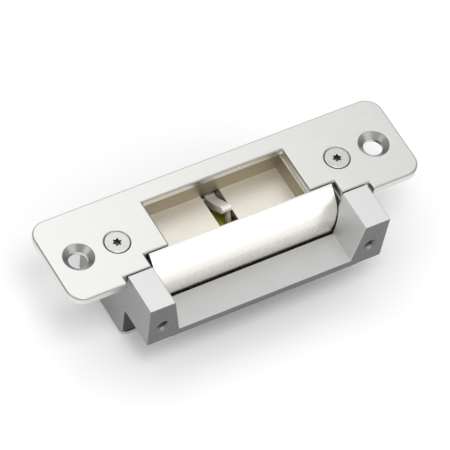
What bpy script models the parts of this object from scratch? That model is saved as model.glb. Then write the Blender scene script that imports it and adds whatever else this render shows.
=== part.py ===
"""Electric door strike: face plate, die-cast housing with two ears and a ramp, a swinging keeper,
a solenoid lock and a latch-sensing lever. Metres, +Z up.

Everything is placed from one datum, the centre of the face plate's front face. X runs along the
plate, Y points to the plate's back edge, and Z points out of the plate. The world origin is on the
ground under the middle of the whole strike.
"""

import math

import bmesh
import bpy
from mathutils import Matrix, Vector

MM = 0.001

# Driving dimensions, in millimetres. Places are (y, z) or (x, y, z) from the datum.
PLATE_LENGTH, PLATE_WIDTH, PLATE_THICKNESS = 123.8, 31.75, 3.0
PLATE_CORNER = 5.6
MOUNT_HOLE_X, HOLE_LINE_Y = 52.4, -0.7
PLATE_SCREW_X = 39.05
LATCH_OPENING_X, LATCH_OPENING_Y = 24.9, 9.3
KEEPER_NOTCH_X, KEEPER_NOTCH_Y = 33.7, -8.1
EAR_NOTCH_X, EAR_NOTCH_Y = 43.5, -13.1

HOUSING_BACK, HOUSING_FRONT, HOUSING_BOTTOM = 14.4, -13.7, -31.6
COVER_THICKNESS = 1.2
GAP = 0.2
OVERALL_DEPTH = 33.0
EAR_FRONT, EAR_TOP = -28.2, 0.1
RAMP_TOP, RAMP_BOTTOM = -15.4, -18.2
FLOOR_TOP, FLOOR_BOTTOM = -10.3, -18.0
POCKET_X, POCKET_BACK = 24.5, 10.0
ARM_BAY_X = 27.0
BAY_X, BAY_RADIUS = 33.4, 19.3
BELLY_RADIUS = 21.5
CHAMBER_BACK = 12.9

KEEPER_PIVOT = (2.6, -14.5)
KEEPER_HALF = 32.4
KEEPER_INNER = -8.5
PIN_RADIUS, RUNNING_GAP = 2.0, 0.1

LEVER_PIVOT = (11.6, -15.6)
LEVER_X = (0.3, 3.7)
LEVER_PIN_RADIUS = 0.8
SLOT_X = (-2.6, 4.0)
FLOOR_CORES_X = ((-24.0, -18.5), (SLOT_X[0], 16.0))

PLUNGER_AXIS = (7.0, -24.6)
PLUNGER_RADIUS = 3.0
FRAME_X = (-21.5, 4.6)
FRAME_SHEET = 1.4

COVER_SCREW_X, COVER_SCREW_Y = 37.4, (-9.2, 10.2)
SOLENOID_SCREW_X = (-15.0, -2.0)
SUPPORT_SCREW = (19.8, 1.5)
SWITCH_SCREW = (-4.0, -0.4)
TERMINAL_X = (-30.3, -25.1)
SCREWS_BELOW = {
    "cover_screw_front_left": (-COVER_SCREW_X, COVER_SCREW_Y[0]),
    "cover_screw_front_right": (COVER_SCREW_X, COVER_SCREW_Y[0]),
    "cover_screw_back_left": (-COVER_SCREW_X, COVER_SCREW_Y[1]),
    "cover_screw_back_right": (COVER_SCREW_X, COVER_SCREW_Y[1]),
    "solenoid_screw_left": (SOLENOID_SCREW_X[0], PLUNGER_AXIS[0]),
    "solenoid_screw_right": (SOLENOID_SCREW_X[1], PLUNGER_AXIS[0]),
    "support_screw": SUPPORT_SCREW,
}

DATUM = Vector((0, -(EAR_FRONT + PLATE_WIDTH / 2) / 2 * MM, OVERALL_DEPTH * MM))
ROUND = 32

METALS = {
    "stainless": ((0.72, 0.71, 0.69), 0.32, 1.0),
    "cast_zinc": ((0.52, 0.52, 0.51), 0.42, 1.0),
    "keeper_nickel": ((0.78, 0.76, 0.70), 0.28, 1.0),
    "zinc_steel": ((0.62, 0.62, 0.60), 0.35, 1.0),
    "spring_steel": ((0.45, 0.45, 0.44), 0.35, 1.0),
    "soft_iron": ((0.40, 0.40, 0.39), 0.40, 1.0),
    "copper": ((0.62, 0.30, 0.12), 0.35, 1.0),
    "yellow_tape": ((0.62, 0.56, 0.06), 0.45, 0.0),
    "black_plastic": ((0.03, 0.03, 0.03), 0.50, 0.0),
    "green_plastic": ((0.05, 0.24, 0.10), 0.45, 0.0),
    "red_wire": ((0.50, 0.03, 0.03), 0.45, 0.0),
}


def clear_scene():
    for obj in list(bpy.data.objects):
        bpy.data.objects.remove(obj, do_unlink=True)


def new_collection(name):
    made = bpy.data.collections.new(name)
    bpy.context.scene.collection.children.link(made)
    return made


def new_empty(name, place, parent=None):
    empty = bpy.data.objects.new(name, None)
    empty.location = place
    empty.parent = parent
    parts.objects.link(empty)
    return empty


def material(name):
    colour, roughness, metallic = METALS[name]
    made = bpy.data.materials.get(name) or bpy.data.materials.new(name)
    made.use_nodes = True
    shader = made.node_tree.nodes["Principled BSDF"]
    shader.inputs["Base Color"].default_value = (*colour, 1.0)
    shader.inputs["Roughness"].default_value = roughness
    shader.inputs["Metallic"].default_value = metallic
    return made


def new_object(name, mesh):
    """A helper until finish() makes it a part: hidden from renders and shown as wire."""
    obj = bpy.data.objects.new(name, mesh)
    helpers.objects.link(obj)
    obj.hide_render = True
    obj.display_type = "WIRE"
    obj.parent = datum
    return obj


def finish(obj, name, finish_name, axis=None):
    """Turns a helper into a named part. On a joint, its origin moves to the empty on the axis."""
    helpers.objects.unlink(obj)
    parts.objects.link(obj)
    obj.name = name
    obj.data.name = name
    obj.hide_render = False
    obj.display_type = "TEXTURED"
    obj.data.materials.append(material(finish_name))
    obj.data.shade_smooth()
    obj.data.set_sharp_from_angle(angle=math.radians(35))
    if axis is not None:
        obj.data.transform(Matrix.Translation(-axis.location))
        obj.parent = axis
    return obj


def mesh_from(bm, name):
    mesh = bpy.data.meshes.new(name)
    bmesh.ops.recalc_face_normals(bm, faces=bm.faces)
    bm.to_mesh(mesh)
    bm.free()
    return mesh


def box(name, x, y, z):
    bm = bmesh.new()
    bmesh.ops.create_cube(bm, size=1)
    size = [(pair[1] - pair[0]) * MM for pair in (x, y, z)]
    middle = [(pair[1] + pair[0]) / 2 * MM for pair in (x, y, z)]
    bmesh.ops.transform(bm, matrix=Matrix.Translation(middle) @ Matrix.Diagonal((*size, 1)), verts=bm.verts)
    return new_object(name, mesh_from(bm, name))


def turn_to(axis):
    """The rotation that takes +Z to the named axis, keeping the right-hand order of the others."""
    cycles = {"Z": ((1, 0, 0), (0, 1, 0), (0, 0, 1)), "X": ((0, 1, 0), (0, 0, 1), (1, 0, 0))}
    cycles["Y"] = ((0, 0, 1), (1, 0, 0), (0, 1, 0))
    return Matrix(cycles[axis]).transposed().to_4x4()


def rod(name, axis, across, along, radius, end_radius=None, segments=ROUND):
    """A cylinder or cone along X, Y or Z. across is its place in the other two, in cyclic order."""
    bm = bmesh.new()
    first, last = along
    end = radius if end_radius is None else end_radius
    bmesh.ops.create_cone(
        bm, cap_ends=True, segments=segments, radius1=radius * MM, radius2=end * MM, depth=(last - first) * MM
    )
    place = Matrix.Translation((across[0] * MM, across[1] * MM, (first + last) / 2 * MM))
    bmesh.ops.transform(bm, matrix=turn_to(axis) @ place, verts=bm.verts)
    return new_object(name, mesh_from(bm, name))


def arc(centre, radius, start, end, steps):
    """Points of an arc, angles in degrees from the outline's first axis."""
    turns = [math.radians(start + (end - start) * i / steps) for i in range(steps + 1)]
    return [(centre[0] + radius * math.cos(t), centre[1] + radius * math.sin(t)) for t in turns]


def curve_mesh(curve, name, matrix):
    """The curve's filled or bevelled shape as a mesh, with its caps welded on."""
    made = bpy.data.objects.new(name, curve)
    bpy.context.scene.collection.objects.link(made)
    graph = bpy.context.evaluated_depsgraph_get()
    mesh = bpy.data.meshes.new_from_object(made.evaluated_get(graph))
    bpy.data.objects.remove(made)
    bm = bmesh.new()
    bm.from_mesh(mesh)
    bmesh.ops.remove_doubles(bm, verts=bm.verts, dist=0.000001)
    bmesh.ops.transform(bm, matrix=matrix, verts=bm.verts)
    return mesh_from(bm, name)


def prism(name, axis, outline, along):
    """A flat outline pushed along an axis. The outline's axes are the other two, in cyclic order."""
    curve = bpy.data.curves.new(name, "CURVE")
    curve.dimensions = "2D"
    curve.fill_mode = "BOTH"
    curve.extrude = (along[1] - along[0]) / 2 * MM
    spline = curve.splines.new("POLY")
    spline.points.add(len(outline) - 1)
    for point, (u, v) in zip(spline.points, outline):
        point.co = (u * MM, v * MM, 0, 1)
    spline.use_cyclic_u = True
    lift = Matrix.Translation((0, 0, (along[0] + along[1]) / 2 * MM))
    return new_object(name, curve_mesh(curve, name, turn_to(axis) @ lift))


def wire(name, route, radius, sides=2):
    """A round wire along a list of points."""
    curve = bpy.data.curves.new(name, "CURVE")
    curve.dimensions = "3D"
    curve.bevel_depth = radius * MM
    curve.bevel_resolution = sides
    curve.use_fill_caps = True
    spline = curve.splines.new("POLY")
    spline.points.add(len(route) - 1)
    for point, place in zip(spline.points, route):
        point.co = (*(Vector(place) * MM), 1)
    return new_object(name, curve_mesh(curve, name, Matrix.Identity(4)))


def turned(name, axis, across, profile, steps=ROUND):
    """A Screw-modifier turning. The profile is (radius, along) pairs down its outer side."""
    bm = bmesh.new()
    closed = profile[0] == profile[-1]
    corners = [bm.verts.new((radius * MM, 0, along * MM)) for radius, along in profile[: -1 if closed else None]]
    if closed:
        corners.append(corners[0])
    for start, end in zip(corners, corners[1:]):
        bm.edges.new((start, end))
    mesh = bpy.data.meshes.new(name)
    bm.to_mesh(mesh)
    bm.free()
    obj = new_object(name, mesh)
    screw = obj.modifiers.new("Turn", "SCREW")
    screw.steps = steps
    screw.render_steps = steps
    screw.use_merge_vertices = True
    screw.merge_threshold = 0.00001
    place = Matrix.Translation((across[0] * MM, across[1] * MM, 0))
    return applied(obj, turn_to(axis) @ place)


def applied(obj, matrix=None):
    """The object with its modifiers made part of its mesh, moved by the matrix."""
    graph = bpy.context.evaluated_depsgraph_get()
    mesh = bpy.data.meshes.new_from_object(obj.evaluated_get(graph))
    obj.modifiers.clear()
    bm = bmesh.new()
    bm.from_mesh(mesh)
    bmesh.ops.remove_doubles(bm, verts=bm.verts, dist=0.000001)
    bmesh.ops.transform(bm, matrix=matrix or Matrix.Identity(4), verts=bm.verts)
    obj.data = mesh_from(bm, obj.name)
    return obj


def boolean(obj, other, operation):
    step = obj.modifiers.new(other.name, "BOOLEAN")
    step.operation = operation
    step.object = other
    step.solver = "EXACT"
    return obj


def cut(obj, *cutters):
    for cutter in cutters:
        boolean(obj, cutter, "DIFFERENCE")
    return obj


def join(obj, *others):
    for other in others:
        boolean(obj, other, "UNION")
    return obj


def soften(obj, width, segments=2, angle=40):
    """Rounds the edges that are sharper than the angle."""
    step = obj.modifiers.new("Rounded edges", "BEVEL")
    step.width = width * MM
    step.segments = segments
    step.limit_method = "ANGLE"
    step.angle_limit = math.radians(angle)
    return obj


def sided(values, side):
    """An (x low, x high) pair on the right for side 1, mirrored to the left for side -1."""
    return tuple(sorted(side * value for value in values))


def rounded_rectangle(x, y, radius, steps=6):
    corners = [(x[1], y[1], 0), (x[0], y[1], 90), (x[0], y[0], 180), (x[1], y[0], 270)]
    outline = []
    for cx, cy, turn in corners:
        centre = (cx - math.copysign(radius, cx - sum(x) / 2), cy - math.copysign(radius, cy - sum(y) / 2))
        outline += arc(centre, radius, turn, turn + 90, steps)
    return outline


def torx_outline(centre, outer, inner):
    """Six round lobes: the radius swings between inner and outer six times in a turn."""
    outline = []
    for i in range(36):
        turn = math.tau * i / 36
        radius = (outer + inner) / 2 + (outer - inner) / 2 * math.cos(6 * turn)
        outline.append((centre[0] + radius * math.cos(turn), centre[1] + radius * math.sin(turn)))
    return outline


def countersunk_screw(name, place, head, shank, length, top, down=1, recess=0.9):
    """A flat-head screw along Z with a six-lobe recess. down is -1 for one driven from below."""
    x, y = place
    slope = head - shank
    rim = 0.25
    profile = [(0, top), (head, top), (head, top - down * rim)]
    profile += [(shank, top - down * (rim + slope)), (shank, top - down * (length - 0.6))]
    profile += [(shank - 0.5, top - down * length), (0, top - down * length)]
    body = turned(name, "Z", (x, y), profile[:: 1 if down == 1 else -1])
    span = sorted((top + down, top - down * recess))
    drive = prism(name + "_drive", "Z", torx_outline((x, y), head * 0.44, head * 0.30), span)
    return cut(body, drive)


def sunk_hole(radius, mouth, face, end):
    """The profile of a drilled hole with a 45 degree countersink, cut from a face to a far end."""
    step = math.copysign(1, end - face)
    flare = mouth - radius
    return [(0, face - step), (mouth + 1, face - step), (radius, face + step * flare), (radius, end), (0, end)]


def make_face_plate():
    half, edge = PLATE_LENGTH / 2, PLATE_WIDTH / 2
    corner = PLATE_CORNER
    outline = arc((half - corner, edge - corner), corner, 0, 90, 8)
    outline += arc((-half + corner, edge - corner), corner, 90, 180, 8)
    outline += arc((-half + corner, -edge + corner), corner, 180, 270, 8)
    steps_left = [(-EAR_NOTCH_X, -edge), (-EAR_NOTCH_X, EAR_NOTCH_Y), (-KEEPER_NOTCH_X, EAR_NOTCH_Y)]
    steps_left += [(-KEEPER_NOTCH_X, KEEPER_NOTCH_Y), (-LATCH_OPENING_X, KEEPER_NOTCH_Y)]
    steps_left += [(-LATCH_OPENING_X, LATCH_OPENING_Y)]
    outline += steps_left + [(-x, y) for x, y in reversed(steps_left)]
    outline += arc((half - corner, -edge + corner), corner, 270, 360, 8)
    plate = prism("plate", "Z", outline, (-PLATE_THICKNESS, 0))
    soften(plate, 0.55)
    for side in (-1, 1):
        mount = (side * MOUNT_HOLE_X, HOLE_LINE_Y)
        cut(plate, turned("mount_hole", "Z", mount, sunk_hole(3.1, 4.95, 0, -4)))
        screw = (side * PLATE_SCREW_X, HOLE_LINE_Y)
        cut(plate, turned("screw_hole", "Z", screw, sunk_hole(2.3, 4.4, 0, -4)))
    finish(plate, "face_plate", "stainless")


def make_plate_screws():
    for side, word in ((-1, "left"), (1, "right")):
        place = (side * PLATE_SCREW_X, HOLE_LINE_Y)
        screw = countersunk_screw("screw", place, 3.95, 1.9, 9.5, -0.05)
        finish(screw, f"plate_screw_{word}", "zinc_steel")


def block_half(z):
    """Half length of the housing at a height: its end faces lean in towards the bottom."""
    return 42.45 - (EAR_TOP - z) * 0.05


def make_housing_outside():
    low, high = HOUSING_BOTTOM, -PLATE_THICKNESS - GAP
    front, back = HOUSING_FRONT, HOUSING_BACK
    section = [(back, high), (front, high)] + arc((front + 2.5, low + 2.5), 2.5, 180, 270, 6)
    section += arc((back - 1.0, low + 1.0), 1.0, 270, 360, 4)
    body = prism("block", "X", section, (-1, 1))
    for vertex in body.data.vertices:
        vertex.co.x *= block_half(vertex.co.z / MM)
    for side in (-1, 1):
        ear = [(EAR_TOP, 33.6), (EAR_TOP, block_half(EAR_TOP))]
        ear += [(RAMP_BOTTOM, block_half(RAMP_BOTTOM)), (RAMP_BOTTOM, 30.0)]
        ear = [(z, side * x) for z, x in ear]
        block = prism("ear", "Y", ear, (EAR_FRONT, EAR_NOTCH_Y - GAP - 0.1))
        join(body, soften(block, 0.45))
    ramp = box("ramp", (-33, 33), (EAR_FRONT, -15.5), (RAMP_BOTTOM, RAMP_TOP))
    belly = arc(KEEPER_PIVOT, BELLY_RADIUS, 189, 232.6, 12) + [(-6, HOUSING_BOTTOM + 0.1), (-6, FLOOR_BOTTOM)]
    belly_end = BAY_X + 1.8
    join(body, ramp, prism("belly", "X", belly, (-belly_end, belly_end)))
    return body


def make_housing():
    body = make_housing_outside()
    sweep = [(-7.66, 2.0), (-14.2, 2.0)] + arc(KEEPER_PIVOT, BAY_RADIUS, 150.5, 237.9, 28)
    cut(body, prism("keeper_bay", "X", sweep, (-BAY_X, BAY_X)))
    cut(body, box("chamber", (-BAY_X, BAY_X), (-7.8, CHAMBER_BACK), (-34, FLOOR_BOTTOM)))
    cut(body, box("pocket", (-POCKET_X, POCKET_X), (-7.8, POCKET_BACK), (FLOOR_TOP, 2)))
    for side in (-1, 1):
        bay = box("arm_bay", sided((ARM_BAY_X, BAY_X), side), (-7.8, 7.4), (-19, 2))
        bore = rod("pin_bore", "X", KEEPER_PIVOT, sided((25.9, 38.2), side), PIN_RADIUS + RUNNING_GAP)
        tap = rod("screw_bore", "Z", (side * PLATE_SCREW_X, HOLE_LINE_Y), (-11, 0), 2.1)
        hole = turned("ear_hole", "Y", (-10.4, side * 36.75), sunk_hole(1.65, 2.4, EAR_FRONT, -19.5))
        cut(body, bay, bore, tap, hole)
        for y in COVER_SCREW_Y:
            cut(body, rod("cover_bore", "Z", (side * COVER_SCREW_X, y), (-34, -25), 1.25))
    for x in FLOOR_CORES_X:
        cut(body, box("floor_core", x, (-6.0, 8.0), (FLOOR_BOTTOM - 1, FLOOR_TOP - 1.8)))
    cut(body, box("lever_slot", SLOT_X, (-3.0, POCKET_BACK - 0.05), (FLOOR_BOTTOM - 1, -9.0)))
    cut(body, box("lever_notch", SLOT_X, (POCKET_BACK - 0.15, 13.5), (FLOOR_BOTTOM - 1, -9.9)))
    cut(body, rod("lever_pin_bore", "X", LEVER_PIVOT, (-5.5, 7.4), LEVER_PIN_RADIUS + 0.15, segments=16))
    cut(body, rod("switch_bore", "Z", SWITCH_SCREW, (-20, -17.0), 0.8, segments=16))
    finish(body, "housing", "cast_zinc")


def keeper_outline():
    """The jaw's section: a thin flat rim, a short step, and one round face down to the lower edge."""
    face = arc((-1.0, -13.0), 15.0, 124.3, 180, 16)
    rim_z, foot_z = -0.05, -17.4
    return [(KEEPER_INNER, rim_z), (-9.2, rim_z)] + face + [(-16.0, foot_z), (KEEPER_INNER, foot_z)]


def make_keeper():
    jaw = prism("jaw", "X", keeper_outline(), (-KEEPER_HALF, KEEPER_HALF))
    soften(jaw, 0.2, 2, 25)
    y, z = KEEPER_PIVOT
    for side in (-1, 1):
        web = [(-9.5, -8.0), (-9.5, -17.2)] + arc(KEEPER_PIVOT, 4.2, -100, 66, 14)
        join(jaw, prism("arm", "X", web, sided((29.4, KEEPER_HALF - 0.05), side)))
        cut(jaw, rod("arm_bore", "X", KEEPER_PIVOT, sided((28, 34), side), PIN_RADIUS + RUNNING_GAP))
    tail = [(y - 18.0, z - 1.5), (y - 16.5, z - 5.0), (y - 14.0, z - 6.3), (y - 11.0, z - 5.9)]
    tail += [(y - 4.8, z - 5.9), (y - 4.8, z - 3.9), (y - 11.6, z - 3.9), (y - 11.6, z - 1.5)]
    join(jaw, prism("tail", "X", tail, (12, 16)))
    finish(jaw, "keeper", "keeper_nickel", keeper_axis)


def helix(axis_place, radius, along, turns, start=0.0, per_turn=12):
    """Points of a coil about X at (y, z), as (x, y, z)."""
    y, z = axis_place
    count = int(turns * per_turn)
    points = []
    for i in range(count + 1):
        turn = math.radians(start) + math.tau * i / per_turn
        x = along[0] + (along[1] - along[0]) * i / count
        points.append((x, y + radius * math.cos(turn), z + radius * math.sin(turn)))
    return points


def make_keeper_pivots():
    y, z = KEEPER_PIVOT
    for side, word in ((-1, "left"), (1, "right")):
        pin = rod("pin", "X", KEEPER_PIVOT, sided((26.0, 38.0), side), PIN_RADIUS)
        finish(soften(pin, 0.3, 1), f"keeper_pin_{word}", "zinc_steel")
        coil = helix(KEEPER_PIVOT, 2.75, (27.7, 28.8), 1.5, start=90)
        back_leg = [(27.7, y + 4.2, z + 2.75)]
        front_leg = [(28.9, y - 6.5, z - 3.1), (29.8, y - 7.2, z - 4.9), (31.2, y - 7.2, z - 4.9)]
        route = [(side * px, py, pz) for px, py, pz in back_leg + coil + front_leg]
        finish(wire("spring", route, 0.3), f"keeper_spring_{word}", "spring_steel")


def make_latch_lever():
    hub = rod("hub", "X", LEVER_PIVOT, LEVER_X, 1.7, segments=24)
    arm = [(11.8, -14.3), (9.6, -13.6), (4.6, -10.0), (3.2, -8.7), (2.2, -8.3), (1.3, -8.7), (1.0, -9.6)]
    arm += [(1.5, -10.8), (3.4, -12.2), (6.4, -15.0), (8.6, -16.2), (10.6, -16.9)]
    join(hub, soften(prism("arm", "X", arm, LEVER_X), 0.25, 2, 25))
    leg = [(3.6, -11.4), (2.0, -10.6), (-0.5, -17.6), (-0.5, -18.55), (0.8, -18.55), (0.9, -17.6), (3.2, -13.0)]
    join(hub, prism("leg", "X", leg, (2.5, LEVER_X[1])))
    cut(hub, rod("lever_bore", "X", LEVER_PIVOT, (-1, 5), LEVER_PIN_RADIUS + RUNNING_GAP, segments=24))
    finish(hub, "latch_lever", "zinc_steel", lever_axis)
    pin = rod("pin", "X", LEVER_PIVOT, (-5.3, 7.2), LEVER_PIN_RADIUS, segments=24)
    finish(pin, "latch_lever_pin", "zinc_steel")
    y, z = LEVER_PIVOT
    coil = helix(LEVER_PIVOT, 1.25, (-2.0, -0.6), 2.5, start=-90, per_turn=10)
    route = [(-2.0, y - 1.2, z - 1.9)] + coil + [(-0.55, y - 3.4, z - 0.8), (1.0, y - 3.9, z - 0.95)]
    finish(wire("spring", route, 0.15, 1), "latch_lever_spring", "spring_steel")


def make_switch():
    body = box("body", (-1.2, 7.4), (-2.0, 1.2), (-24.2, -20.2))
    join(body, box("tab", (-5.2, -1.1), (-2.0, 1.2), (-22.6, FLOOR_BOTTOM - GAP)))
    cut(body, box("well", (1.9, 4.3), (-0.9, 0.9), (-23.2, -19)))
    cut(body, rod("screw_hole", "Z", SWITCH_SCREW, (-25, -17), 0.85, segments=16))
    finish(body, "switch_body", "black_plastic")
    button = box("button", (2.1, 4.1), (-0.7, 0.7), (-21.4, -18.85))
    finish(soften(button, 0.2), "switch_button", "black_plastic")
    x, y = SWITCH_SCREW
    profile = [(0, -17.2), (0.65, -17.2), (0.65, -22.8), (1.3, -22.8), (1.3, -23.7), (0, -23.7)]
    screw = cut(
        turned("screw", "Z", (x, y), profile, 20),
        box("drive", (x - 1.5, x + 1.5), (y - 0.2, y + 0.2), (-24, -23.4)),
    )
    finish(screw, "switch_screw", "zinc_steel")


def make_solenoid():
    y, z = PLUNGER_AXIS
    left, right = FRAME_X
    width = (y - 5.4, y + 5.4)
    low, high = -31.3, -19.3
    sheet = [(low, left), (high, left), (high, left + FRAME_SHEET), (low + FRAME_SHEET, left + FRAME_SHEET)]
    sheet += [(low + FRAME_SHEET, right - FRAME_SHEET), (high, right - FRAME_SHEET), (high, right), (low, right)]
    frame = prism("frame", "Y", sheet, width)
    cut(frame, rod("plunger_hole", "X", PLUNGER_AXIS, (1, 6), PLUNGER_RADIUS + 0.25))
    cut(frame, rod("core_hole", "X", PLUNGER_AXIS, (-23, -19), 1.8))
    for x in SOLENOID_SCREW_X:
        cut(frame, rod("fixing_hole", "Z", (x, y), (-32, -29), 1.15, segments=20))
    finish(frame, "solenoid_frame", "zinc_steel")

    bore, tube = 3.25, 3.75
    ends = (left + FRAME_SHEET + GAP, right - FRAME_SHEET - GAP)
    flange = 1.1
    profile = [(bore, ends[1]), (5.0, ends[1]), (5.0, ends[1] - flange), (tube, ends[1] - flange)]
    profile += [(tube, ends[0] + flange), (5.0, ends[0] + flange), (5.0, ends[0]), (bore, ends[0]), (bore, ends[1])]
    finish(turned("bobbin", "X", PLUNGER_AXIS, profile), "coil_bobbin", "black_plastic")
    span = (ends[0] + flange + 0.15, ends[1] - flange - 0.15)
    ring = [(3.9, span[1]), (4.6, span[1]), (4.6, span[0]), (3.9, span[0]), (3.9, span[1])]
    finish(turned("winding", "X", PLUNGER_AXIS, ring), "coil_winding", "copper")
    wrap = [(4.72, span[1]), (5.0, span[1]), (5.0, span[0]), (4.72, span[0]), (4.72, span[1])]
    tape = turned("tape", "X", PLUNGER_AXIS, wrap)
    join(tape, box("flap_root", (-3.0, -1.5), (5.5, 8.4), (-19.8, -18.95)))
    join(tape, box("flap", (-3.0, 8.6), (2.2, 8.4), (-19.15, -18.95)))
    finish(tape, "coil_tape", "yellow_tape")
    core = [(0, -12.3), (3.0, -12.3), (3.0, ends[0] + 0.1), (1.65, ends[0] + 0.1), (1.65, left - 0.6), (0, left - 0.6)]
    finish(turned("core", "X", PLUNGER_AXIS, core, 24), "solenoid_core", "soft_iron")


def make_plunger():
    y, z = PLUNGER_AXIS
    profile = [(0, 12.6), (1.5, 12.6), (1.6, 12.5), (1.6, 12.3), (1.15, 12.3), (1.15, 11.7), (1.6, 11.7)]
    profile += [(1.6, 9.7), (2.8, 9.7), (PLUNGER_RADIUS, 9.5), (PLUNGER_RADIUS, -8.2), (2.0, -9.0), (0, -9.0)]
    finish(turned("plunger", "X", PLUNGER_AXIS, profile, 24), "plunger", "soft_iron", plunger_axis)
    tab = box("tab", (9.85, 11.35), (y - 2.3, y + 2.3), (-28.0, -20.8))
    bar = [(9.85, 4.7), (9.85, y + 2.3), (21.0, y + 2.3), (21.0, -4.6), (16.45, -4.6), (16.45, -2.0)]
    bar += [(19.4, -2.0), (19.4, 4.7)]
    slide = join(tab, prism("bar", "Z", bar, (-22.5, -20.8)))
    cut(slide, rod("neck_hole", "X", PLUNGER_AXIS, (9, 12), 1.75, segments=24))
    finish(slide, "locking_slide", "zinc_steel", plunger_axis)
    clip = prism("clip", "X", arc(PLUNGER_AXIS, 1.95, 60, 390, 20) + arc(PLUNGER_AXIS, 1.3, 390, 60, 20), (11.8, 12.2))
    finish(clip, "plunger_clip", "spring_steel", plunger_axis)
    coil = helix(PLUNGER_AXIS, 3.65, (5.2, 9.25), 4, per_turn=14)
    finish(wire("spring", coil, 0.25), "plunger_spring", "spring_steel")


def make_slide_support():
    post = box("post", (17.0, 22.6), (-0.8, 3.8), (-31.4, -22.8))
    cut(post, rod("post_bore", "Z", SUPPORT_SCREW, (-33, -27), 1.15, segments=20))
    finish(soften(post, 0.3, 1), "slide_support", "black_plastic")


def make_terminals():
    block = box("block", (-32.9, -22.5), (7.4, 12.6), (-31.3, -22.9))
    soften(block, 0.3, 1)
    for x in TERMINAL_X:
        cut(block, rod("screw_well", "Z", (x, 10.9), (-33, -27.0), 1.75, segments=24))
        cut(block, box("wire_well", (x - 0.9, x + 0.9), (7.9, 9.3), (-33, -26)))
    finish(block, "terminal_block", "green_plastic")
    for x, word in zip(TERMINAL_X, ("left", "right")):
        head = rod("screw", "Z", (x, 10.9), (-30.9, -27.3), 1.5, segments=24)
        slot = box("slot", (x - 2, x + 2), (10.65, 11.15), (-32, -30.3))
        finish(cut(head, slot), f"terminal_screw_{word}", "zinc_steel")


def make_leads():
    """Two coil leads, from above the coil's end over the frame and down to the terminal block."""
    leads = (("left", TERMINAL_X[0], 10.2, "red_wire"), ("right", TERMINAL_X[1], 8.6, "black_plastic"))
    for word, x, y, colour in leads:
        top = -18.75
        route = [(-18.9, y, top), (-21.8, y, top), (x + 2.6, y, -19.3), (x + 0.9, y, -20.0), (x, y, -21.0)]
        route += [(x, y, -22.5)]
        finish(wire("lead", route, 0.45), f"coil_lead_{word}", colour)


def make_bottom_cover():
    top = HOUSING_BOTTOM - GAP
    outline = rounded_rectangle((-40.4, 40.4), (HOUSING_FRONT + 0.4, HOUSING_BACK - 0.4), 2.0)
    cover = soften(prism("cover", "Z", outline, (-OVERALL_DEPTH, top)), 0.25, 1, 60)
    cut(cover, box("terminal_window", (-32.4, -23.0), (7.7, 12.3), (-35, -30)))
    for x, y in SCREWS_BELOW.values():
        cut(cover, turned("screw_hole", "Z", (x, y), sunk_hole(1.3, 2.5, -OVERALL_DEPTH, -31.0), 24))
    finish(cover, "bottom_cover", "zinc_steel")
    for name, place in SCREWS_BELOW.items():
        length = 6.5 if name.startswith("cover") else 2.9
        screw = countersunk_screw("screw", place, 2.05, 1.0, length, -OVERALL_DEPTH + 0.1, -1, 0.7)
        finish(screw, name, "zinc_steel")


clear_scene()
parts = new_collection("electric_strike")
helpers = new_collection("cutters")
datum = new_empty("strike_datum", DATUM)
keeper_axis = new_empty("keeper_axis", Vector((0, *KEEPER_PIVOT)) * MM, datum)
lever_axis = new_empty("lever_axis", Vector((0, *LEVER_PIVOT)) * MM, datum)
plunger_axis = new_empty("plunger_axis", Vector((0, *PLUNGER_AXIS)) * MM, datum)
make_face_plate()
make_plate_screws()
make_housing()
make_keeper()
make_keeper_pivots()
make_latch_lever()
make_switch()
make_solenoid()
make_plunger()
make_slide_support()
make_terminals()
make_leads()
make_bottom_cover()
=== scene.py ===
"""Looks of the electric door strike: fine pieces and finishes around the fixed frame."""

import math

import bmesh
import bpy
from mathutils import Matrix, Vector


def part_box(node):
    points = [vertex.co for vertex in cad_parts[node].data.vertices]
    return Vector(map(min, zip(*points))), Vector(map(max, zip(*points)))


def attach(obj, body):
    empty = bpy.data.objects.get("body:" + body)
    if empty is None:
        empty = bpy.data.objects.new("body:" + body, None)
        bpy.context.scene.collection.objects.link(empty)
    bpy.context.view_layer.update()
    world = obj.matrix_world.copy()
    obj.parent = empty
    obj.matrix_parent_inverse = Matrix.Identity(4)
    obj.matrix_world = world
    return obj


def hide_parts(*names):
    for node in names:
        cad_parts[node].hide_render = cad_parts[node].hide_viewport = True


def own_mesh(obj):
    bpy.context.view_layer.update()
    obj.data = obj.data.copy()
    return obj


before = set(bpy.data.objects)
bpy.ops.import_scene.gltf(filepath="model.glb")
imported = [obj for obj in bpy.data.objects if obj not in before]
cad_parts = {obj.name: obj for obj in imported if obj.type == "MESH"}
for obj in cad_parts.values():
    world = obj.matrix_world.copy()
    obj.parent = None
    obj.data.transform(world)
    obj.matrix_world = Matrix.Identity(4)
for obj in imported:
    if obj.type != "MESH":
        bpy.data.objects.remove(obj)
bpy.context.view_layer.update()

MM = 0.001

# The datum is the centre of the face plate's front face. X runs along the plate, Y to its back edge.
plate_low, plate_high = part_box("face_plate")
DATUM = Vector(((plate_low.x + plate_high.x) / 2, (plate_low.y + plate_high.y) / 2, plate_high.z))

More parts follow.
